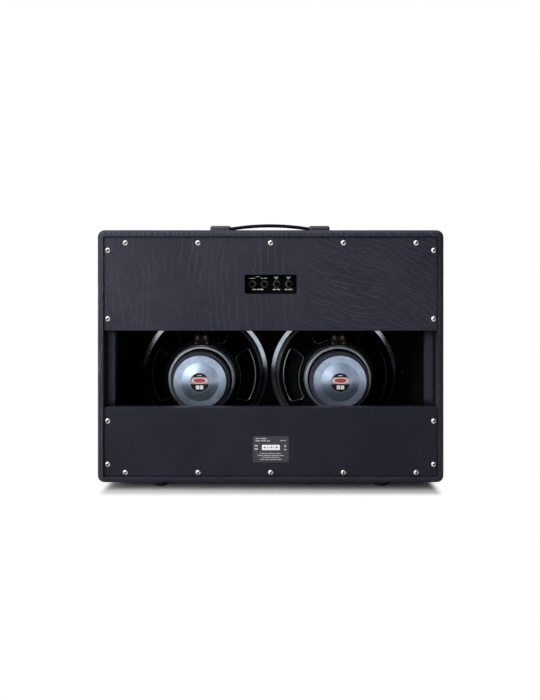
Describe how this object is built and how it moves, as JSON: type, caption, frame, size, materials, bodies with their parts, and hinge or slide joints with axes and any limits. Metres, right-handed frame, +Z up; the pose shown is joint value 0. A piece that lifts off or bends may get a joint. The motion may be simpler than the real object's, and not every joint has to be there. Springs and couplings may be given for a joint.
{
  "type": "guitar speaker cabinet",
  "caption": "Open-backed guitar speaker cabinet in black grained vinyl, with round speakers on an inner baffle, a recessed jack plate, a strap handle and rubber feet.",
  "frame": {"origin": "on the floor under the middle of the cabinet, between the four feet", "axes": "+X across the cabinet, to the right of someone facing the grille; +Y from the grille to the open back; +Z up"},
  "size_m": [0.705, 0.3, 0.5516],
  "materials": {
    "black_painted_wood": "matte",
    "black_vinyl": "satin",
    "vinyl_covered_wood": "satin",
    "nickel_screws": "gloss",
    "black_screws": "satin",
    "zinc_steel": "satin",
    "ferrite": "matte",
    "basket_paint": "gloss",
    "cone_paper": "matte",
    "treated_cloth": "matte",
    "voice_coil_metal": "satin",
    "tinsel": "satin",
    "phenolic_board": "satin",
    "tinned_brass": "gloss",
    "gasket_card": "matte",
    "magnet_label": "satin",
    "rating_label": "satin",
    "grille_cloth": "matte",
    "foot_rubber": "matte",
    "strap_vinyl": "satin",
    "cap_plastic": "satin",
    "jack_plate_paint": "satin",
    "jack_plastic": "satin",
    "circuit_board": "satin",
    "sleeve_plastic": "satin",
    "wire_insulation": "satin"
  },
  "bodies": {
    "cabinet": {"back_panel_screws": "nickel_screws", "baffle_board": "black_painted_wood", "bottom_back_batten": "vinyl_covered_wood", "bottom_board": "black_painted_wood", "cabinet_covering": "black_vinyl", "foot_screws": "black_screws", "grille_cloth": "grille_cloth", "grille_frame": "black_painted_wood", "grille_screws": "black_screws", "handle_bolts": "nickel_screws", "handle_nut_plates": "zinc_steel", "jack_board_tabs": "tinned_brass", "jack_circuit_board": "circuit_board", "jack_nuts": "jack_plastic", "jack_plate": "jack_plate_paint", "jack_plate_screws": "black_screws", "jack_sockets": "jack_plastic", "left_back_batten": "vinyl_covered_wood", "left_basket": "basket_paint", "left_handle_cap": "cap_plastic", "left_magnet": "ferrite", "left_side_board": "black_painted_wood", "left_spider": "treated_cloth", "left_surround": "treated_cloth", "left_tinsel_leads": "tinsel", "left_yoke": "zinc_steel", "lower_back_covering": "black_vinyl", "lower_back_panel": "black_painted_wood", "magnet_front_plates": "zinc_steel", "magnet_labels": "magnet_label", "rating_label": "rating_label", "right_back_batten": "vinyl_covered_wood", "right_basket": "basket_paint", "right_handle_cap": "cap_plastic", "right_magnet": "ferrite", "right_side_board": "black_painted_wood", "right_spider": "treated_cloth", "right_surround": "treated_cloth", "right_tinsel_leads": "tinsel", "right_yoke": "zinc_steel", "rubber_feet": "foot_rubber", "speaker_bolts": "black_screws", "speaker_gaskets": "gasket_card", "speaker_tee_nuts": "zinc_steel", "speaker_wires": "wire_insulation", "terminal_boards": "phenolic_board", "terminal_rivets": "tinned_brass", "terminal_tags": "tinned_brass", "top_back_batten": "vinyl_covered_wood", "top_board": "black_painted_wood", "upper_back_covering": "black_vinyl", "upper_back_panel": "black_painted_wood", "wire_connectors": "sleeve_plastic"},
    "left_cone_assembly": {"left_cone": "cone_paper", "left_dust_cap": "cone_paper", "left_voice_coil": "voice_coil_metal"},
    "right_cone_assembly": {"right_cone": "cone_paper", "right_dust_cap": "cone_paper", "right_voice_coil": "voice_coil_metal"},
    "handle": {"handle_strap": "strap_vinyl"}
  },
  "joints": [
    {"name": "left_cone_travel", "type": "slide", "parent": "cabinet", "child": "left_cone_assembly", "axis": [0, -1, 0], "range_m": [-0.003, 0.003], "stiffness_N_per_m": 7000, "deforming": ["left_surround", "left_spider", "left_tinsel_leads"]},
    {"name": "right_cone_travel", "type": "slide", "parent": "cabinet", "child": "right_cone_assembly", "axis": [0, -1, 0], "range_m": [-0.003, 0.003], "stiffness_N_per_m": 7000, "deforming": ["right_surround", "right_spider", "right_tinsel_leads"]},
    {"name": "handle_lift", "type": "slide", "parent": "cabinet", "child": "handle", "axis": [0, 0, 1], "range_m": [0, 0.022], "deforming": ["handle_strap"]}
  ]
}
